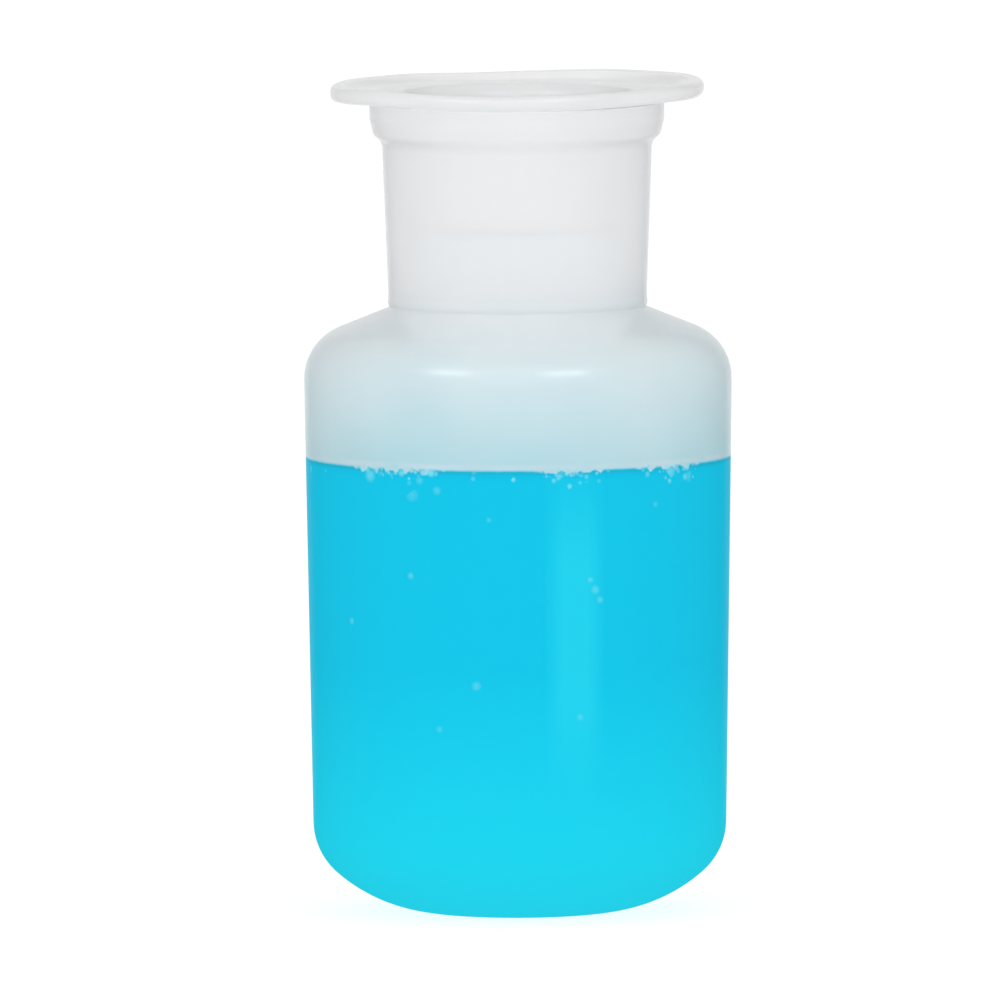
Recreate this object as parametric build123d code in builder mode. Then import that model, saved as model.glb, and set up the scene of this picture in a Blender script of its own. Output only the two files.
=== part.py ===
from build123d import *
import os
from math import cos, radians, sin

# A round wide-mouth reagent bottle of translucent plastic: a blow-moulded body with a
# tapered neck, a one-piece hollow stopper with a wide flange, and the liquid in the body.
# Millimetres, +Z up, with the origin at the middle of the base. Every section is drawn on
# the XZ plane, to one side of the axis, and revolved about Z.

# Body
base_diameter = 24.0  # flat ring that the bottle stands on, across its outside
push_up_diameter = 17.0  # shallow hollow inside that ring
push_up_height = 0.9
heel_radius = 10.6  # round between the side wall and the belly of the base
heel_lift = 3.7  # how far the heel round's circle stays above the base plane
foot_diameter = 64.3  # side wall, carried down to the base plane
shoulder_diameter = 67.2  # side wall, carried up to the shoulder cone
shoulder_height = 89.5  # where that side wall would meet the cone
shoulder_slope = 22.0  # degrees above the horizontal
shoulder_radius = 8.6
body_wall = 1.3

# Neck and its collar
mouth_height = 127.1
neck_diameter = 42.8  # outside, carried up to the mouth
neck_wall = 2.1
neck_taper = 1 / 13  # change of diameter along the neck, outside and in the bore
neck_root_radius = 1.0
collar_diameter = 46.2
collar_band = 2.6  # height of the collar's straight top band
collar_skirt = 2.4  # height of the narrowing skirt below it
collar_skirt_inset = 0.6  # how far the skirt narrows on each side
mouth_radius = 0.5  # rounded edges of the mouth and collar

# Stopper
seat_clearance = 0.05  # between plug and bore, square to the axis
flange_gap = 0.4  # left between flange and mouth when the plug is home
flange_diameter = 58.6
flange_thickness = 1.3
rim_height = 0.7  # raised rim on the flange, above its plate
rim_width = 2.2
rim_radius = 0.6
plug_length = 20.3  # below the flange
plug_wall = 2.0
plug_floor = 1.5
plug_edge_radius = 0.8
stopper_root_radius = 0.6

# Liquid
fill_height = 71.2
liquid_clearance = 0.05  # between liquid and wall

slope = radians(shoulder_slope)
neck_flare = neck_taper / 2  # change of radius along the neck
flange_height = mouth_height + flange_gap

# The side wall leans out from foot to shoulder, so its rounds are placed along its normal.
foot_corner = Vector(foot_diameter / 2, 0)
shoulder_corner = Vector(shoulder_diameter / 2, shoulder_height)
wall_up = (shoulder_corner - foot_corner).normalized()
wall_out = Vector(wall_up.Y, -wall_up.X)
cone_out = Vector(sin(slope), cos(slope))
cone_up = Vector(-cos(slope), sin(slope))

# The shoulder round touches the side wall and the cone.
shoulder_centre = shoulder_corner - (wall_out + cone_out) * (
    shoulder_radius / (1 + wall_out.dot(cone_out))
)

# The heel round touches the side wall. The belly arc touches the heel round and lies flat
# against the base plane at the edge of the standing ring.
base_radius = base_diameter / 2
heel_height = heel_radius + heel_lift
heel_centre = Vector(
    foot_corner.X - (heel_radius + wall_out.Y * heel_height) / wall_out.X, heel_height
)
belly_width = heel_centre.X - base_radius
belly_radius = (belly_width**2 + heel_height**2 - heel_radius**2) / (2 * heel_lift)
belly_centre = Vector(base_radius, belly_radius)
belly_end_out = (heel_centre - belly_centre).normalized()


def neck_radius(height, inset):
    """Radius of the tapered neck at a height, moved inward by inset."""
    return neck_diameter / 2 - inset - (mouth_height - height) * neck_flare


def body_outline(inset):
    """Draws the body's outline from the axis at the base to the top of the shoulder round,
    moved inward by inset, and returns its last edge."""
    push_up_edge = Vector(push_up_diameter / 2, inset)
    belly_end = belly_centre + belly_end_out * (belly_radius - inset)
    heel_end = heel_centre + wall_out * (heel_radius - inset)
    shoulder_start = shoulder_centre + wall_out * (shoulder_radius - inset)
    shoulder_end = shoulder_centre + cone_out * (shoulder_radius - inset)
    TangentArc((0, inset + push_up_height), push_up_edge, tangent=(1, 0))
    Line(push_up_edge, (base_radius, inset))
    TangentArc((base_radius, inset), belly_end, tangent=(1, 0))
    TangentArc(belly_end, heel_end, tangent=(-belly_end_out.Y, belly_end_out.X))
    Line(heel_end, shoulder_start)
    return TangentArc(shoulder_start, shoulder_end, tangent=wall_up)


def neck_guide(inset):
    """The neck's side from below the shoulder to the mouth, to meet the cone."""
    return Line(
        (neck_radius(0, inset), 0),
        (neck_radius(mouth_height, inset), mouth_height),
        mode=Mode.PRIVATE,
    )


# Bottle: the wall's section from the outside of the base, up and over the mouth, and down
# the bore and the inside again.
collar_radius = collar_diameter / 2
band_foot = mouth_height - collar_band
skirt_foot = band_foot - collar_skirt
skirt_radius = collar_radius - collar_skirt_inset
# The collar's underside slopes in at 45 degrees until it meets the neck.
underside = (skirt_radius - neck_radius(skirt_foot, 0)) / (1 + neck_flare)
collar_foot = skirt_foot - underside

with BuildPart() as bottle:
    with BuildSketch(Plane.XZ) as wall_section:
        with BuildLine():
            shoulder = body_outline(0)
            cone = IntersectingLine(shoulder @ 1, cone_up, neck_guide(0))
            collar_corner = Vector(neck_radius(collar_foot, 0), collar_foot)
            Line(cone @ 1, collar_corner)
            Polyline(
                collar_corner,
                (skirt_radius, skirt_foot),
                (collar_radius, band_foot),
                (collar_radius, mouth_height),
                (neck_radius(mouth_height, neck_wall), mouth_height),
            )
            inner_shoulder = body_outline(body_wall)
            inner_cone = IntersectingLine(inner_shoulder @ 1, cone_up, neck_guide(neck_wall))
            Line(inner_cone @ 1, (neck_radius(mouth_height, neck_wall), mouth_height))
            Line((0, push_up_height), (0, push_up_height + body_wall))
        make_face()
        corners = wall_section.vertices()
        fillet(corners.sort_by_distance(cone @ 1)[0], radius=neck_root_radius)
        fillet(corners.sort_by_distance(inner_cone @ 1)[0], radius=neck_root_radius)
        fillet(corners.group_by(Axis.Y)[-1], radius=mouth_radius)
        fillet(corners.sort_by_distance((skirt_radius, skirt_foot))[0], radius=mouth_radius)
    revolve(axis=Axis.Z)

# Stopper: a cup-shaped plug of even wall that hangs from the flange's inner edge.
plug_foot = flange_height - plug_length
plug_inset = neck_wall + seat_clearance
recess_inset = plug_inset + plug_wall
flange_radius = flange_diameter / 2
plate_top = flange_height + flange_thickness
rim_top = plate_top + rim_height
recess_floor = plug_foot + plug_floor

with BuildPart() as stopper:
    with BuildSketch(Plane.XZ) as stopper_section:
        with BuildLine():
            # Each corner is given with the radius of its round.
            corners = (
                ((neck_radius(plug_foot, plug_inset), plug_foot), plug_edge_radius),
                ((neck_radius(flange_height, plug_inset), flange_height), stopper_root_radius),
                ((flange_radius, flange_height), rim_radius),
                ((flange_radius, rim_top), rim_radius),
                ((flange_radius - rim_width, rim_top), rim_radius),
                ((flange_radius - rim_width - rim_height, plate_top), rim_radius),
                ((neck_radius(plate_top, recess_inset), plate_top), stopper_root_radius),
                ((neck_radius(recess_floor, recess_inset), recess_floor), plug_edge_radius),
            )
            FilletPolyline(
                (0, plug_foot),
                *(point for point, _ in corners),
                (0, recess_floor),
                radius=[radius for _, radius in corners],
            )
            Line((0, recess_floor), (0, plug_foot))
        make_face()
    revolve(axis=Axis.Z)

# Liquid: the inside of the body, filled to a level surface.
with BuildPart() as liquid:
    with BuildSketch(Plane.XZ):
        with BuildLine():
            inset = body_wall + liquid_clearance
            top = body_outline(inset) @ 1
            Polyline(top, (0, top.Y), (0, push_up_height + inset))
        make_face()
    revolve(axis=Axis.Z)
    split(bisect_by=Plane.XY.offset(fill_height), keep=Keep.BOTTOM)

bottle.part.label = "bottle"
stopper.part.label = "stopper"
liquid.part.label = "liquid"

os.makedirs("parts", exist_ok=True)
export_step(bottle.part, "parts/bottle.step")
export_step(stopper.part, "parts/stopper.step")
export_step(liquid.part, "parts/liquid.step")
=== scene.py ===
import math

import bpy
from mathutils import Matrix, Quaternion, Vector


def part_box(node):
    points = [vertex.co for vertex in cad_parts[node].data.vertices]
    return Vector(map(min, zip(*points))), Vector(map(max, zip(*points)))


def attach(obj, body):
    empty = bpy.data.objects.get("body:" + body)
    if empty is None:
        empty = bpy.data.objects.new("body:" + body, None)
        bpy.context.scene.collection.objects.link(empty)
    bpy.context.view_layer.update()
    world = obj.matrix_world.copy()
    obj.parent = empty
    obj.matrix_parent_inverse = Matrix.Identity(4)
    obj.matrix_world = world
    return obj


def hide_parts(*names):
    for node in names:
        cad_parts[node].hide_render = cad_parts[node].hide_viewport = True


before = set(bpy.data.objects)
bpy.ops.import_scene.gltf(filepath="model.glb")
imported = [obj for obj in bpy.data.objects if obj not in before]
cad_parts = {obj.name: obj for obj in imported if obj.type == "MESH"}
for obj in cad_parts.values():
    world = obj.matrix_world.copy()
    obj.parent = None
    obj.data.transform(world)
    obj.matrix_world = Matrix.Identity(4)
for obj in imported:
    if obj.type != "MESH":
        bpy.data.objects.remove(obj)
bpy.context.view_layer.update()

# A round wide-mouth reagent bottle of translucent plastic with a flanged stopper, part filled
# with blue liquid. Profiles are (radius, height) pairs in millimetres; meshes are in metres.
MM = 0.001
TAU = 2 * math.pi

# ---------------------------------------------------------------- sizes in millimetres
MOUTH_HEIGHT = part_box("bottle")[1].z / MM
PLUG_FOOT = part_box("stopper")[0].z / MM
RIM_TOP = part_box("stopper")[1].z / MM
FLANGE_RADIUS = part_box("stopper")[1].x / MM
FILL_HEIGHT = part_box("liquid")[1].z / MM

# the body: a push-up, the belly and heel arcs, a wall that leans out, the shoulder round
PUSH_UP_RADIUS = 8.5  # the standing ring lies between this and the base's radius
PUSH_UP_HEIGHT = 0.9
BASE_RADIUS = 12.0
HEEL_RADIUS = 10.6
HEEL_LIFT = 3.7  # how high the heel's circle stands over the base
FOOT_RADIUS = 32.15  # of the wall, carried down to the base
SHOULDER_CORNER_RADIUS = 33.6  # where wall and cone would meet without their round
SHOULDER_HEIGHT = 89.5
SHOULDER_SLOPE = math.radians(22)
SHOULDER_ROUND = 8.6
BODY_WALL = 1.3

# the neck and the collar round its mouth
NECK_RADIUS = 21.4  # at the mouth
NECK_FLARE = 1 / 26  # how much its radius grows as it rises
NECK_WALL = 2.1
NECK_ROOT_ROUND, BORE_ROOT_ROUND = 0.4, 1.0
BEAD_HEIGHT, BEAD_RISE = 2.2, 0.15  # the slight swelling round the neck's root
COLLAR_RADIUS = 23.1
COLLAR_BAND = 2.6
COLLAR_SKIRT = 2.4
COLLAR_SKIRT_INSET = 0.6
COLLAR_ROUNDS = [2.0, 1.5, 5.0, 0.3, 0.5]  # from its foot up to the lip and over into the bore

# the stopper
SEAT_CLEARANCE = 0.05
FLANGE_THICKNESS = 1.3
RIM_HEIGHT = 0.7
RIM_WIDTH = 2.2
RIM_SLOPE = 2.4  # how far in the rim runs down to the flange's top
RIM_ROUND, RIM_FOOT_ROUND = 0.6, 3.0
EDGE_ROUND = 0.9
RECESS_ROUND = 2.0
PLUG_WALL = 2.0
PLUG_FLOOR = 1.5
PLUG_ROOT_ROUND, PLUG_FLOOR_ROUND, PLUG_END_ROUND = 0.6, 0.8, 1.6

# the flange's waves: each is how many there are round the rim, how high they are, and the angle
# of the first crest times their number
WARP_START = 22.5  # the radius from which the flange bends
WARP_LIFT, UNDERSIDE_DROOP = 0.70, 0.45
WARPS = [(1, 0.38, 0.52), (2, 0.18, 0.70), (4, 0.12, math.pi)]
RIPPLES = [(5, 0.05, 0.4), (7, 0.035, 2.0), (11, 0.02, 5.1)]

# the liquid's meniscus, and how far its mesh reaches into the wall, so that no air shows between
MENISCUS, MENISCUS_REACH = 0.7, 3.0
WETTED = 0.12

# ---------------------------------------------------------------- profiles
STEP = 1.5  # the longest run between two rings of a mesh
SAME_POINT = 1e-4  # points nearer than this are one, and a radius below it is on the axis
ARC_STEPS, PUSH_UP_STEPS, ROOT_STEPS = 24, 8, 8
TENTHS = [n / 10 for n in range(11)]


def arc(centre, radius, start, end, steps=ARC_STEPS):
    """Points of an arc; angles in radians, 0 outward and a quarter turn up."""
    turn = [start + (end - start) * i / steps for i in range(steps + 1)]
    return [(centre[0] + radius * math.cos(a), centre[1] + radius * math.sin(a)) for a in turn]


def runs(points):
    """The same outline with its long straight runs cut into steps, and no point twice."""
    out = [points[0]]
    for (x, y), (to_x, to_y) in zip(points, points[1:]):
        run = math.dist((x, y), (to_x, to_y))
        n = math.ceil(run / STEP) if run > SAME_POINT else 0
        out += [(x + (to_x - x) * i / n, y + (to_y - y) * i / n) for i in range(1, n + 1)]
    return out


def rounded(points, radii, steps=6):
    """An outline whose inner corners are rounded, each by its own radius."""
    out = [points[0]]
    for before, corner, after, radius in zip(points, points[1:], points[2:], radii):
        a = Vector(before) - Vector(corner)
        b = Vector(after) - Vector(corner)
        a.normalize()
        b.normalize()
        half = a.angle(b) / 2
        reach = radius / math.tan(half)
        middle = Vector(corner) + (a + b).normalized() * (radius / math.sin(half))
        first = Vector(corner) + a * reach - middle
        last = Vector(corner) + b * reach - middle
        for i in range(steps + 1):
            spoke = first.lerp(last, i / steps).normalized() * radius
            out.append(tuple(middle + spoke))
    return out + [points[-1]]


def neck_radius(height, inset):
    return NECK_RADIUS - inset - (MOUTH_HEIGHT - height) * NECK_FLARE


def body_profile(inset):
    """From the axis at the base to the top of the shoulder round, moved inward by inset."""
    lean = math.atan2(SHOULDER_CORNER_RADIUS - FOOT_RADIUS, SHOULDER_HEIGHT)
    wall = Vector((math.cos(lean), -math.sin(lean)))
    cone = Vector((math.sin(SHOULDER_SLOPE), math.cos(SHOULDER_SLOPE)))
    corner = Vector((SHOULDER_CORNER_RADIUS, SHOULDER_HEIGHT))
    shoulder = corner - (wall + cone) * (SHOULDER_ROUND / (1 + wall.dot(cone)))
    heel_z = HEEL_RADIUS + HEEL_LIFT
    heel = Vector((FOOT_RADIUS - (HEEL_RADIUS + wall.y * heel_z) / wall.x, heel_z))
    belly_radius = ((heel.x - BASE_RADIUS) ** 2 + heel_z**2 - HEEL_RADIUS**2) / (2 * HEEL_LIFT)
    belly = Vector((BASE_RADIUS, belly_radius))
    turn = math.atan2(heel.y - belly.y, heel.x - belly.x)
    # the push-up is a shallow arc from the axis to the standing ring
    push_radius = (PUSH_UP_RADIUS**2 + PUSH_UP_HEIGHT**2) / (2 * PUSH_UP_HEIGHT)
    half = math.asin(PUSH_UP_RADIUS / push_radius)
    centre = (0, inset + PUSH_UP_HEIGHT - push_radius)
    points = arc(centre, push_radius, math.pi / 2, math.pi / 2 - half, PUSH_UP_STEPS)
    points += arc(belly, belly_radius - inset, -math.pi / 2, turn)
    points += arc(heel, HEEL_RADIUS - inset, turn, -lean)
    points += arc(shoulder, SHOULDER_ROUND - inset, -lean, math.pi / 2 - SHOULDER_SLOPE)
    return points


def neck_root(start, inset, foot_of_next, root_round):
    """The round between the shoulder's cone, which begins at start, and the neck."""
    slope = math.tan(SHOULDER_SLOPE)
    # start + t (-1, slope) meets the neck's side
    side = neck_radius(start[1], inset)
    t = (start[0] - side) / (1 + slope * NECK_FLARE)
    root = (start[0] - t, start[1] + t * slope)
    return rounded([start, root, foot_of_next], [root_round], ROOT_STEPS)[1:-1]


def bottle_profile():
    """The bottle's outside up to the lip, its inside down to the liquid, and its wetted inside."""
    outer = body_profile(0)
    skirt_foot = MOUTH_HEIGHT - COLLAR_BAND - COLLAR_SKIRT
    skirt_radius = COLLAR_RADIUS - COLLAR_SKIRT_INSET
    under = (skirt_radius - neck_radius(skirt_foot, 0)) / (1 + NECK_FLARE)
    collar_foot = (neck_radius(skirt_foot - under, 0), skirt_foot - under)
    outer += neck_root(outer[-1], 0, collar_foot, NECK_ROOT_ROUND)
    root_top = outer[-1][1]
    for t in TENTHS:
        z = root_top + BEAD_HEIGHT * t
        outer.append((neck_radius(z, 0) + BEAD_RISE * math.sin(math.pi * math.sqrt(t)) ** 2, z))
    mouth = (neck_radius(MOUTH_HEIGHT, NECK_WALL), MOUTH_HEIGHT)
    inner = body_profile(BODY_WALL)
    inner += neck_root(inner[-1], NECK_WALL, mouth, BORE_ROOT_ROUND)
    lip = rounded(
        [
            outer[-1],
            collar_foot,
            (skirt_radius, skirt_foot),
            (COLLAR_RADIUS, MOUTH_HEIGHT - COLLAR_BAND),
            (COLLAR_RADIUS, MOUTH_HEIGHT),
            mouth,
            inner[-1],
        ],
        COLLAR_ROUNDS,
    )
    outside = runs(outer[:-1] + lip)
    inside = runs([outside[-1]] + inner[::-1][1:])
    dry = [p for p in inside if p[1] > FILL_HEIGHT]
    wet = [p for p in inside if p[1] <= FILL_HEIGHT]
    share = (dry[-1][1] - FILL_HEIGHT) / (dry[-1][1] - wet[0][1])
    line = (dry[-1][0] + (wet[0][0] - dry[-1][0]) * share, FILL_HEIGHT)
    return outside, dry[1:] + [line], wet


def stopper_profile():
    """From the axis under the plug, round the flange and down into the recess to the axis."""
    plate_top = RIM_TOP - RIM_HEIGHT
    flange = plate_top - FLANGE_THICKNESS
    plug_inset = NECK_WALL + SEAT_CLEARANCE
    recess = plug_inset + PLUG_WALL
    floor = PLUG_FOOT + PLUG_FLOOR
    slope_foot = FLANGE_RADIUS - RIM_WIDTH - RIM_SLOPE
    corners = [
        ((0, PLUG_FOOT), None),
        ((neck_radius(PLUG_FOOT, plug_inset), PLUG_FOOT), PLUG_END_ROUND),
        ((neck_radius(flange, plug_inset), flange), PLUG_ROOT_ROUND),
        ((FLANGE_RADIUS, flange), EDGE_ROUND),
        ((FLANGE_RADIUS, RIM_TOP), EDGE_ROUND),
        ((FLANGE_RADIUS - RIM_WIDTH, RIM_TOP), RIM_ROUND),
        ((slope_foot, plate_top), RIM_FOOT_ROUND),
        ((neck_radius(plate_top, recess), plate_top), RECESS_ROUND),
        ((neck_radius(floor, recess), floor), PLUG_FLOOR_ROUND),
        ((0, floor), None),
    ]
    radii = [radius for _, radius in corners[1:-1]]
    return runs(rounded([point for point, _ in corners], radii))


def liquid_profile():
    """The liquid's side, from the axis at its base, and its top, from the wall to the axis."""
    inset = BODY_WALL - WETTED
    side = [p for p in runs(body_profile(inset)) if p[1] < FILL_HEIGHT]
    # the surface climbs a little where it meets the wall
    edge = side[-1][0]
    top = []
    for t in TENTHS:
        dip = MENISCUS * (1 - (1 - t) ** 3)
        top.append((edge - t * MENISCUS_REACH, FILL_HEIGHT - dip))
    return side, runs(top + [(0, FILL_HEIGHT - MENISCUS)])


def flange_warp(radius, height, angle):
    """The thin flange isn't flat: it came out of its mould a little askew and wavy."""
    reach = (radius - WARP_START) / (FLANGE_RADIUS - WARP_START)
    if reach <= 0:
        return radius, height
    lift = WARP_LIFT + sum(size * math.cos(n * angle - turn) for n, size, turn in WARPS)
    ripple = sum(size * math.cos(n * angle - turn) for n, size, turn in RIPPLES)
    ease = reach * reach * (3 - 2 * reach)
    depth = (RIM_TOP - height) / (RIM_HEIGHT + FLANGE_THICKNESS)
    return radius + ripple * reach, height + (lift + ripple - UNDERSIDE_DROOP * depth) * ease


# ---------------------------------------------------------------- meshes
SEGMENTS = 240


def new_object(name, data):
    thing = bpy.data.objects.new(name, data)
    bpy.context.scene.collection.objects.link(thing)
    return thing


def lathe(name, parts, place=None):
    """A closed surface of revolution from (material, profile) parts that follow on.

    place(radius, height, angle) may move a point.
    """
    verts, rings, faces, slots = [], [], [], []
    profile = [(point, n) for n, (_, points) in enumerate(parts) for point in points]
    for (radius, height), _ in profile:
        if radius < SAME_POINT:
            rings.append([len(verts)])
            verts.append((0, 0, height))
            continue
        ring = []
        for i in range(SEGMENTS):
            angle = TAU * i / SEGMENTS
            r, z = place(radius, height, angle) if place else (radius, height)
            ring.append(len(verts))
            verts.append((r * math.cos(angle), r * math.sin(angle), z))
        rings.append(ring)
    for low, high, (_, n) in zip(rings, rings[1:], profile[1:]):
        slots += [n] * SEGMENTS
        for i in range(SEGMENTS):
            j = (i + 1) % SEGMENTS
            if len(low) == 1:
                faces.append((low[0], high[j], high[i]))
            elif len(high) == 1:
                faces.append((low[i], low[j], high[0]))
            else:
                faces.append((low[i], low[j], high[j], high[i]))
    mesh = bpy.data.meshes.new(name)
    mesh.from_pydata([[c * MM for c in v] for v in verts], [], faces)
    for material, _ in parts:
        mesh.materials.append(material)
    mesh.polygons.foreach_set("material_index", slots)
    mesh.shade_smooth()
    return new_object(name, mesh)


# ---------------------------------------------------------------- looks
# Heights, distances and bump depths are in millimetres, and angles round the bottle in radians
# from its front. Scales count cells in a metre.
WHITE_PLASTIC, WHITE_CLOUD = (0.945, 0.945, 0.955), (0.925, 0.93, 0.94)
STOPPER_PLASTIC, STOPPER_CLOUD = (0.97, 0.973, 0.976), (0.95, 0.953, 0.957)
PLASTIC_IOR = 1.5
PLASTIC_ROUGHNESS = (0.32, 0.41)
COAT_ROUGHNESS = 0.19
DRY_COAT, WET_COAT = 0.60, 0.10
CLOUD_SCALE, SATIN_SCALE, WAVE_SCALE, GRAIN_SCALE = 70, 260, 95, 2600
CLOUD_NOISE, SATIN_NOISE = (0.35, 0.65), (0.3, 0.7)  # between which noise values they change
WAVE_BUMP, WAVE_DEPTH = 0.03, 1.0
GRAIN_BUMP, GRAIN_DEPTH = 0.02, 0.2
BOTTLE_HAZE, INSIDE_HAZE, STOPPER_HAZE, PLUG_HAZE = 0.75, 0.15, 0.75, 0.6
HAZE_CLOUDING = 0.03
PLUG_SIDE, FLANGE_START = 17.8, 19.0  # radii between which the plug's haze gives way
PLUG_FADE = 1.0  # and the height below the mouth over which it does
PLASTIC_LAMP_TINT, CLEAR = (0.95, 0.955, 0.96), (1, 1, 1)

# the liquid, and the inside of the wall that it wets
LIQUID_IOR = 1.33
LIQUID_SIDE_IOR = 1.02  # the wetted wall has bent the light already
LIQUID_TINT = (0, 0.985, 0.996, 1)
LIQUID_DENSITY = 150.0
WETTED_ROUGHNESS = (0.3, 0.4)

# painted glow: the liquid's blue light, painted into the colour of the dry wall over the liquid
PAINTED_BLUE_GLOW = (0.54, 0.79, 0.85)
TINT_REACH, TINT_CREEP, TINT_SCALE, TINT_NOISE = 27.0, 2.5, 45, (0.3, 0.7)

# the wall in front of the liquid, with the liquid's light painted into its colour, and a painted
# brighter glow towards its foot
WET_CLIMB, WET_FADE = 0.3, 0.4  # how far the wet zone stands above the liquid's level, and fades
WET_COLOR, FOOT_GLOW_COLOR = (0.0, 0.59, 0.84), (0.009, 0.70, 0.89)
WET_HAZE, WET_HAZE_LOW = 0.8, 0.88
WET_FOOT, WET_FOOT_END = 8.0, 40.0
EDGE_SINK, SINK_SCALE, SINK_NOISE = 0.8, 800, (0.4, 0.65)  # froth sinks its edge unevenly

# soft-edged bands, each by its middle, its half width and the width of its soft edge: an upright
# painted highlight streak, and the meniscus's painted shade line and painted glint, which count
# from the wet zone's edge
# painted highlight: a lamp's reflection as an upright streak down the front of the liquid
STREAK_HIGHLIGHT_COLOR = (0.012, 0.68, 0.88)
HIGHLIGHT_TURN, HIGHLIGHT_HEIGHT = (0.27, 0.06, 0.09), (46.0, 12.0, 16.0)
# painted shade: the meniscus's dark line, a band just under the wet zone's edge
EDGE_SHADE_COLOR, EDGE_SHADE_BAND = (0.004, 0.50, 0.70), (-0.2, 0.1, 0.4)
# painted glint: the meniscus's bright line, over the wet zone's edge
GLINT_COLOR, GLINT_BAND = (0.66, 0.82, 0.88), (0.7, 0.1, 0.5)
GLINT_SCALE, GLINT_NOISE, GLINT_FAINTEST = 110, (0.42, 0.58), 0.2  # the painted glint is patchy

# froth: the middles and half widths of its clusters, their soft ends, and its share elsewhere
FROTH_COLOR, FROTH_HAZE = (0.25, 0.78, 0.90), 0.95
FROTH = [(-0.62, 0.20), (0.26, 0.12), (0.80, 0.15), (1.9, 0.3), (2.9, 0.2), (-1.9, 0.3)]
FROTH_SOFT, FROTH_ELSEWHERE = 0.08, 0.05
# its layers of bubbles: scale, the share of cells that hold one, and how deep they begin
FROTH_CELLS = [(430, 0.45, 4.8), (700, 0.6, 2.4), (1150, 1.0, 2.4)]
# over the liquid's level: where it is thickest, where it begins to thin out, and where it ends
FROTH_FULL, FROTH_TOP, FROTH_END = 0.1, 0.4, 0.9
# a bubble's size in its cell, the share of it that is evenly pale, and how pale
BUBBLE_SIZES, BUBBLE_CORE, BUBBLE_PALENESS = (0.3, 0.65), 0.3, (0.35, 0.9)

# single bubbles on the wall: degrees round it, height and radius
SPECKS = [
    (-22.5, 68.5, 0.5), (40.0, 65.8, 0.35), (-27.6, 70.0, 0.5), (-30.7, 55.0, 0.4),
    (21.1, 52.9, 0.5), (22.5, 51.3, 0.4), (19.7, 54.5, 0.35), (-52.5, 47.3, 0.4),
    (-11.8, 38.0, 0.55), (-22.5, 31.1, 0.45), (16.8, 33.0, 0.45), (-8.0, 64.0, 0.3),
    (118.0, 58.0, 0.45), (-140.0, 44.0, 0.4), (170.0, 62.0, 0.5),
]
SPECK_WALL = 33.0  # the wall's radius where they cling
SPECK_CORE, SPECK_REACH = 0.4, 1.6  # evenly pale and fading, against their radius
SPECK_PALENESS = 0.4


# ---------------------------------------------------------------- shader nodes
def add(tree, kind, *values, settings=None, **named):
    """A new shader node. A socket is given a value, or another node's output to link."""
    node = tree.nodes.new("ShaderNode" + kind)
    for key, value in (settings or {}).items():
        setattr(node, key, value)
    sockets = list(enumerate(values)) + [(k.replace("_", " "), v) for k, v in named.items()]
    for key, value in sockets:
        if isinstance(value, bpy.types.NodeSocket):
            tree.links.new(value, node.inputs[key])
        else:
            node.inputs[key].default_value = value
    return node


def calc(tree, operation, a, b=0):
    return add(tree, "Math", a, b, settings={"operation": operation}).outputs[0]


def vector(tree, operation, *values, output="Vector"):
    return add(tree, "VectorMath", *values, settings={"operation": operation}).outputs[output]


def object_place(tree):
    return add(tree, "TexCoord").outputs["Object"]


def spread(tree, value, low, high, to_low, to_high):
    """The value's range low..high made into to_low..to_high, and held at its ends."""
    return add(tree, "MapRange", value, low, high, to_low, to_high).outputs[0]


def between(tree, share, first, second):
    return spread(tree, share, 0, 1, first, second)


def noise(tree, place, scale, detail=2.0):
    return add(tree, "TexNoise", Vector=place, Scale=scale, Detail=detail).outputs["Fac"]


def blend_colors(tree, factor, first, second):
    """A mix of two colours; such a node's own colour sockets are 6 and 7, and its result 2."""
    mix = add(tree, "Mix", settings={"data_type": "RGBA"})
    for socket, value in ((mix.inputs[0], factor), (mix.inputs[6], first), (mix.inputs[7], second)):
        if isinstance(value, bpy.types.NodeSocket):
            tree.links.new(value, socket)
        else:
            socket.default_value = (*value, 1)
    return mix.outputs[2]


def window(tree, value, middle, half, soft):
    """1 where the value is within half of the middle, falling to 0 over soft."""
    off = calc(tree, "ABSOLUTE", calc(tree, "SUBTRACT", value, middle))
    return spread(tree, off, half, half + soft, 1, 0)


def band(tree, height, sizes, start=0):
    """A window between heights; its sizes in millimetres count from start, in metres."""
    middle, half, soft = (size * MM for size in sizes)
    return window(tree, height, start + middle, half, soft)


def azimuth_of(tree, place):
    """The angle round the bottle, from the front towards +X."""
    part = add(tree, "SeparateXYZ", place).outputs
    return calc(tree, "ARCTAN2", part["X"], calc(tree, "MULTIPLY", part["Y"], -1))


def froth_clusters(tree, place):
    """1 in the stretches round the bottle where froth has gathered."""
    turn = azimuth_of(tree, place)
    cluster = FROTH_ELSEWHERE
    for middle, half in FROTH:
        cluster = calc(tree, "MAXIMUM", cluster, window(tree, turn, middle, half, FROTH_SOFT))
    return cluster


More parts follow.
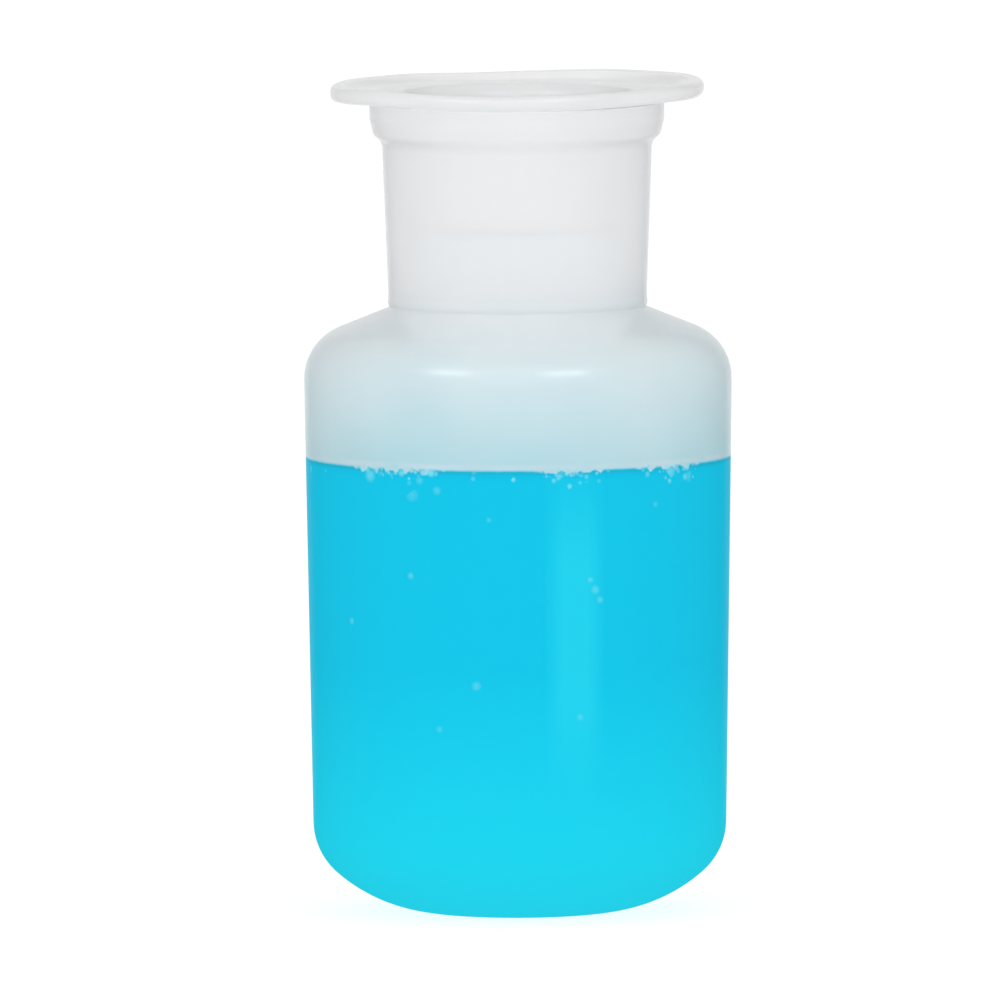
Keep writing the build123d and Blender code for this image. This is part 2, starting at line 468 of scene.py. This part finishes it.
def bubbles(tree, place):
    """Froth that clings in clusters along the liquid's edge, and single bubbles further down."""
    level = FILL_HEIGHT * MM
    froth = 0
    for scale, share, sunk in FROTH_CELLS:
        cells = add(tree, "TexVoronoi", Vector=place, Scale=scale).outputs
        centre = add(tree, "SeparateXYZ", cells["Position"]).outputs["Z"]
        chance = add(tree, "SeparateColor", cells["Color"]).outputs
        below = spread(tree, centre, level - sunk * MM, level + FROTH_FULL * MM, 0, share)
        above = spread(tree, centre, level + FROTH_TOP * MM, level + FROTH_END * MM, 1, 0)
        odds = calc(tree, "MULTIPLY", below, above)
        odds = calc(tree, "MULTIPLY", odds, froth_clusters(tree, cells["Position"]))
        there = calc(tree, "LESS_THAN", chance["Red"], odds)
        size = between(tree, chance["Green"], *BUBBLE_SIZES)
        disc = spread(tree, calc(tree, "DIVIDE", cells["Distance"], size), BUBBLE_CORE, 1, 1, 0)
        pale = between(tree, chance["Blue"], *BUBBLE_PALENESS)
        bubble = calc(tree, "MULTIPLY", calc(tree, "MULTIPLY", there, disc), pale)
        froth = calc(tree, "MAXIMUM", froth, bubble)
    for degrees, height, radius in SPECKS:
        a = math.radians(degrees)
        at = (math.sin(a) * SPECK_WALL * MM, -math.cos(a) * SPECK_WALL * MM, height * MM)
        off = vector(tree, "DISTANCE", place, at, output="Value")
        core, reach = radius * MM * SPECK_CORE, radius * MM * SPECK_REACH
        froth = calc(tree, "MAXIMUM", froth, spread(tree, off, core, reach, SPECK_PALENESS, 0))
    return froth


# ---------------------------------------------------------------- materials
def new_tree(name):
    material = bpy.data.materials.new(name)
    material.use_nodes = True
    material.node_tree.nodes.clear()
    return material, material.node_tree


def finish_material(tree, shader, lamp_tint, volume=None):
    """The shader shows to every ray but a lamp's, which passes with a tint."""
    lamps = add(tree, "LightPath").outputs["Is Shadow Ray"]
    clear = add(tree, "BsdfTransparent", Color=(*lamp_tint, 1))
    surface = add(tree, "MixShader", lamps, shader, clear.outputs[0])
    output = add(tree, "OutputMaterial", Surface=surface.outputs[0])
    if volume:
        tree.links.new(volume, output.inputs["Volume"])


def satin_roughness(tree, place, roughness):
    return spread(tree, noise(tree, place, SATIN_SCALE), *SATIN_NOISE, *roughness)


def plug_milk(tree, place, height, milk, core):
    """The stopper's milk: core in its plug and below the mouth, and milk in its flange."""
    flat = vector(tree, "MULTIPLY", place, (1, 1, 0))
    radius = vector(tree, "LENGTH", flat, output="Value")
    inner = spread(tree, radius, PLUG_SIDE * MM, FLANGE_START * MM, 1, 0)
    lower = spread(tree, height, (MOUTH_HEIGHT - PLUG_FADE) * MM, MOUTH_HEIGHT * MM, 1, 0)
    return between(tree, calc(tree, "MAXIMUM", inner, lower), milk, core)


def wet_wall(tree, place, height, line, color, milk):
    """The outside's colour, coat and milk, with the wet zone below the line, and its painted light,
    put in.
    """
    sunk = spread(tree, noise(tree, place, SINK_SCALE, 1), *SINK_NOISE, 0, EDGE_SINK * MM)
    sunk = calc(tree, "MULTIPLY", sunk, froth_clusters(tree, place))
    sunk_height = calc(tree, "ADD", height, sunk)
    dry = spread(tree, sunk_height, line, line + WET_FADE * MM, 0, 1)
    low = spread(tree, height, WET_FOOT * MM, WET_FOOT_END * MM, 1, 0)
    # the liquid's light, painted into the wall's colour, with a painted brighter glow towards the
    # foot
    blue = blend_colors(tree, low, WET_COLOR, FOOT_GLOW_COLOR)
    # a painted highlight streaks down the front; the meniscus, with its painted shade line and
    # painted glint, and the froth show through the wall
    turn = azimuth_of(tree, place)
    streak = window(tree, turn, *HIGHLIGHT_TURN)
    streak = calc(tree, "MULTIPLY", streak, band(tree, height, HIGHLIGHT_HEIGHT))
    blue = blend_colors(tree, streak, blue, STREAK_HIGHLIGHT_COLOR)
    # painted shade: the meniscus's dark line
    blue = blend_colors(tree, band(tree, height, EDGE_SHADE_BAND, line), blue, EDGE_SHADE_COLOR)
    # painted glint: a patchy bright line over the meniscus
    light = spread(tree, noise(tree, place, GLINT_SCALE), *GLINT_NOISE, GLINT_FAINTEST, 1)
    light = calc(tree, "MULTIPLY", light, band(tree, height, GLINT_BAND, line))
    color = blend_colors(tree, light, color, GLINT_COLOR)
    color = blend_colors(tree, dry, blue, color)
    coat = between(tree, dry, WET_COAT, DRY_COAT)
    milk = between(tree, dry, between(tree, low, WET_HAZE, WET_HAZE_LOW), milk)
    froth = bubbles(tree, place)
    color = blend_colors(tree, froth, color, FROTH_COLOR)
    milk = between(tree, froth, milk, FROTH_HAZE)
    return color, coat, milk


def plastic_material(name, color, cloud, haze, tint=None, wet=False, core=None):
    """Milky moulded plastic with a satin skin and faint clouding.

    tint is the liquid's blue light, painted into the plastic's colour just above the liquid. Where
    it is wet, it's clearer, and the liquid's light is painted into what milk is left, as its
    colour.
    core is the milk of the stopper's hollow plug, where its flange has haze.
    """
    material, tree = new_tree(name)
    place = object_place(tree)
    height = add(tree, "SeparateXYZ", place).outputs["Z"]
    clouds = noise(tree, place, CLOUD_SCALE)
    color = blend_colors(tree, spread(tree, clouds, *CLOUD_NOISE, 0, 1), color, cloud)
    roughness = satin_roughness(tree, place, PLASTIC_ROUGHNESS)
    milk = spread(tree, clouds, *CLOUD_NOISE, haze - HAZE_CLOUDING, haze + HAZE_CLOUDING)
    if core:
        milk = plug_milk(tree, place, height, milk, core)
    line = (FILL_HEIGHT + WET_CLIMB) * MM
    coat = DRY_COAT
    # the liquid's blue light, painted into the plastic's colour just above the liquid
    if tint:
        creep = TINT_CREEP * MM
        uneven = spread(tree, noise(tree, place, TINT_SCALE), *TINT_NOISE, -creep, creep)
        uneven_height = calc(tree, "ADD", height, uneven)
        near = spread(tree, uneven_height, line, line + TINT_REACH * MM, 1, 0)
        color = blend_colors(tree, near, color, tint)
    if wet:
        color, coat, milk = wet_wall(tree, place, height, line, color, milk)
    # light on its way out has been scattered already
    outward = add(tree, "NewGeometry").outputs["Backfacing"]
    through = calc(tree, "MAXIMUM", outward, calc(tree, "SUBTRACT", 1, milk))
    grain = noise(tree, place, GRAIN_SCALE, 1)
    waves = noise(tree, place, WAVE_SCALE, 1)
    wavy = add(tree, "Bump", Strength=WAVE_BUMP, Distance=WAVE_DEPTH * MM, Height=waves)
    satin = add(
        tree,
        "Bump",
        Strength=GRAIN_BUMP,
        Distance=GRAIN_DEPTH * MM,
        Height=grain,
        Normal=wavy.outputs[0],
    )
    shader = add(
        tree,
        "BsdfPrincipled",
        Base_Color=color,
        Roughness=roughness,
        IOR=PLASTIC_IOR,
        Transmission_Weight=through,
        Specular_IOR_Level=0.0,  # the coat alone has the gloss
        Coat_Weight=coat,
        Coat_Roughness=COAT_ROUGHNESS,
        Coat_IOR=PLASTIC_IOR,
        Normal=satin.outputs[0],
    )
    finish_material(tree, shader.outputs[0], PLASTIC_LAMP_TINT)
    return material


def clear_shader(tree, roughness, ior):
    return add(
        tree,
        "BsdfPrincipled",
        Base_Color=(1, 1, 1, 1),
        Roughness=roughness,
        IOR=ior,
        Transmission_Weight=1.0,
    ).outputs[0]


def wetted_material():
    """Where the plastic meets the liquid, which bends light only by the ratio of the two."""
    material, tree = new_tree("bottle_wetted")
    roughness = satin_roughness(tree, object_place(tree), WETTED_ROUGHNESS)
    shader = clear_shader(tree, roughness, PLASTIC_IOR / LIQUID_IOR)
    finish_material(tree, shader, CLEAR)
    return material


def liquid_material(name, ior):
    material, tree = new_tree(name)
    shader = clear_shader(tree, 0.0, ior)
    absorb = add(tree, "VolumeAbsorption", Color=LIQUID_TINT, Density=LIQUID_DENSITY)
    finish_material(tree, shader, CLEAR, absorb.outputs[0])
    return material


# ---------------------------------------------------------------- pieces
outside, inside, wetted = bottle_profile()
bottle_plastic = plastic_material(
    "bottle_plastic", WHITE_PLASTIC, WHITE_CLOUD, BOTTLE_HAZE, PAINTED_BLUE_GLOW, wet=True
)
bottle_inside = plastic_material(
    "bottle_inside", WHITE_PLASTIC, WHITE_CLOUD, INSIDE_HAZE, PAINTED_BLUE_GLOW
)
bottle = lathe(
    "bottle_shell",
    [(bottle_plastic, outside), (bottle_inside, inside), (wetted_material(), wetted)],
)
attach(bottle, "bottle")
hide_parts("bottle")

stopper_plastic = plastic_material(
    "stopper_plastic", STOPPER_PLASTIC, STOPPER_CLOUD, STOPPER_HAZE, core=PLUG_HAZE
)
stopper = lathe("stopper_shell", [(stopper_plastic, stopper_profile())], flange_warp)
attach(stopper, "stopper")
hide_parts("stopper")

side, top = liquid_profile()
liquid_side = liquid_material("blue_liquid", LIQUID_SIDE_IOR)
liquid_top = liquid_material("blue_liquid_top", LIQUID_IOR)
liquid = lathe("liquid_fill", [(liquid_side, side), (liquid_top, top)])
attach(liquid, "bottle")
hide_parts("liquid")

# ---------------------------------------------------------------- stage
FLOOR_HALF = 40  # metres
FLOOR_GLOW = 0.84  # what the camera finds in the floor besides its shading
FLOOR_SHADING = 0.25  # how pale a matt floor lies under that glow, to take the shadow
FLOOR_LIGHT = 1.0  # what matt surfaces find in it
ROOM_FRONT, ROOM_BACK = 0.06, 1.0  # what gloss mirrors on the camera's side, and behind
BACKDROP_START, BACKDROP_FULL = 0.85, 0.99  # how far back a mirrored ray points
ROOM_LEVEL = 0.8  # the room for other rays, against the white that the camera sees
ROOM_LIGHT = 0.86  # the light that falls on matt surfaces from all round
SIDE_LIGHT = 0.3  # what is added to it straight from the left and the right
TOP_LIGHT = 0.02  # what is added straight from above


def mirrored(tree, towards):
    """The room as gloss shows it: dim, with a white backdrop behind the bottle."""
    depth = add(tree, "SeparateXYZ", towards).outputs["Y"]
    return spread(tree, depth, BACKDROP_START, BACKDROP_FULL, ROOM_FRONT, ROOM_BACK)


def floor_material():
    """Shaded for the camera, and glowing for the rays that reach it from the bottle."""
    material, tree = new_tree("floor_white")
    material.cycles.emission_sampling = "NONE"  # its glow differs by the kind of ray
    path = add(tree, "LightPath").outputs
    matte = add(tree, "BsdfDiffuse", Color=(FLOOR_SHADING, FLOOR_SHADING, FLOOR_SHADING, 1))
    glow = add(tree, "Emission", Strength=FLOOR_GLOW)
    shaded = add(tree, "AddShader", matte.outputs[0], glow.outputs[0])
    white = add(tree, "Emission", Strength=1.0)
    plain = add(tree, "Emission", Strength=FLOOR_LIGHT)
    away = vector(tree, "NORMALIZE", object_place(tree))
    dim = add(tree, "Emission", Strength=mirrored(tree, away))
    # a ray that comes through glass counts as glossy too, so its own mix comes later
    surface = add(tree, "MixShader", path["Is Glossy Ray"], shaded.outputs[0], dim.outputs[0])
    for ray, shown in (("Is Transmission Ray", white), ("Is Diffuse Ray", plain)):
        surface = add(tree, "MixShader", path[ray], surface.outputs[0], shown.outputs[0])
    add(tree, "OutputMaterial", Surface=surface.outputs[0])
    return material


def light_room():
    """A world that is white for the camera, and dimmer where it lights the bottle."""
    world = bpy.data.worlds.new("studio")
    bpy.context.scene.world = world
    world.use_nodes = True
    world.cycles.sampling_method = "NONE"  # its level differs by the kind of ray
    tree = world.node_tree
    tree.nodes.clear()
    path = add(tree, "LightPath").outputs
    towards = add(tree, "TexCoord").outputs["Generated"]
    gloss = calc(tree, "MULTIPLY", path["Is Glossy Ray"], mirrored(tree, towards))
    part = add(tree, "SeparateXYZ", towards).outputs
    sideways = calc(tree, "MULTIPLY", calc(tree, "ABSOLUTE", part["X"]), SIDE_LIGHT)
    above = calc(tree, "MULTIPLY", part["Z"], TOP_LIGHT)
    soft = calc(tree, "ADD", calc(tree, "ADD", sideways, above), ROOM_LIGHT)
    matt = calc(tree, "MULTIPLY", path["Is Diffuse Ray"], soft)
    level = calc(tree, "MAXIMUM", path["Is Transmission Ray"], calc(tree, "MAXIMUM", gloss, matt))
    level = calc(tree, "MAXIMUM", path["Is Camera Ray"], calc(tree, "MULTIPLY", level, ROOM_LEVEL))
    background = add(tree, "Background", Color=(1, 1, 1, 1), Strength=level)
    add(tree, "OutputWorld", Surface=background.outputs[0])


corners = [(-FLOOR_HALF, -FLOOR_HALF), (FLOOR_HALF, -FLOOR_HALF)]
corners += [(FLOOR_HALF, FLOOR_HALF), (-FLOOR_HALF, FLOOR_HALF)]
floor_mesh = bpy.data.meshes.new("floor")
floor_mesh.from_pydata([(x, y, 0) for x, y in corners], [], [(0, 1, 2, 3)])
floor_mesh.materials.append(floor_material())
floor = new_object("floor", floor_mesh)
light_room()

# ---------------------------------------------------------------- lamps, in metres
LAMP_DISTANCE = 1.2
LAMP_AIM = Vector((0, 0, 0.07))


def softbox(name, azimuth, elevation, width, height, radiance, fill=False):
    """A lamp that faces the bottle; azimuth is from the camera's side, to its right.

    A fill lamp lights matt surfaces alone, and any other shows in gloss alone.
    """
    a, e = math.radians(azimuth), math.radians(elevation)
    out = Vector((math.sin(a) * math.cos(e), -math.cos(a) * math.cos(e), math.sin(e)))
    lamp = bpy.data.lights.new(name, "AREA")
    lamp.shape = "RECTANGLE"
    lamp.size, lamp.size_y = width, height
    lamp.energy = radiance * math.pi * width * height
    holder = new_object(name, lamp)
    holder.location = LAMP_AIM + out * LAMP_DISTANCE
    holder.rotation_mode = "QUATERNION"
    holder.rotation_quaternion = out.to_track_quat("Z", "Y")
    holder.visible_diffuse, holder.visible_glossy = fill, not fill


softbox("lamp_right", 28, 36, 0.44, 0.22, 5.0)
softbox("lamp_left", -41, 36, 0.44, 0.22, 5.0)
softbox("lamp_fill", -4, 36, 0.80, 0.80, 1.5, fill=True)

# ---------------------------------------------------------------- camera
SENSOR = 36.0
LENS = 1150.0
MM_PER_PIXEL = 0.15672  # at the bottle's axis
IMAGE = 1000
AXIS_PIXEL = 518.5  # where the bottle's axis crosses the middle row
BASE_ROW = 910.8  # where the base plane lies on the axis
SINE_DOWN = 0.078  # of the angle at which the camera looks down
ROLL = math.radians(-0.25)
CLIP_START, CLIP_END = 0.5, 20  # as shares of the camera's distance

camera_data = bpy.data.cameras.new("camera")
camera_data.sensor_width = SENSOR
camera_data.lens = LENS
distance = MM_PER_PIXEL * IMAGE * LENS / SENSOR * MM
camera_data.clip_start, camera_data.clip_end = distance * CLIP_START, distance * CLIP_END
tilt = math.asin(SINE_DOWN)
aside = (IMAGE / 2 - AXIS_PIXEL) * MM_PER_PIXEL * MM
up = (BASE_ROW - IMAGE / 2) * MM_PER_PIXEL * MM / math.cos(tilt)
back = Vector((0, -math.cos(tilt), math.sin(tilt)))
camera = new_object("camera", camera_data)
camera.location = Vector((aside, 0, up)) + back * distance
camera.rotation_mode = "QUATERNION"
camera.rotation_quaternion = (-back).to_track_quat("-Z", "Y") @ Quaternion((0, 0, 1), ROLL)
bpy.context.scene.camera = camera
bpy.context.scene.view_settings.view_transform = "Standard"
bpy.context.scene.cycles.max_bounces = 24
bpy.context.scene.cycles.transmission_bounces = 16
bpy.context.scene.cycles.diffuse_bounces = 4
bpy.context.scene.cycles.glossy_bounces = 12
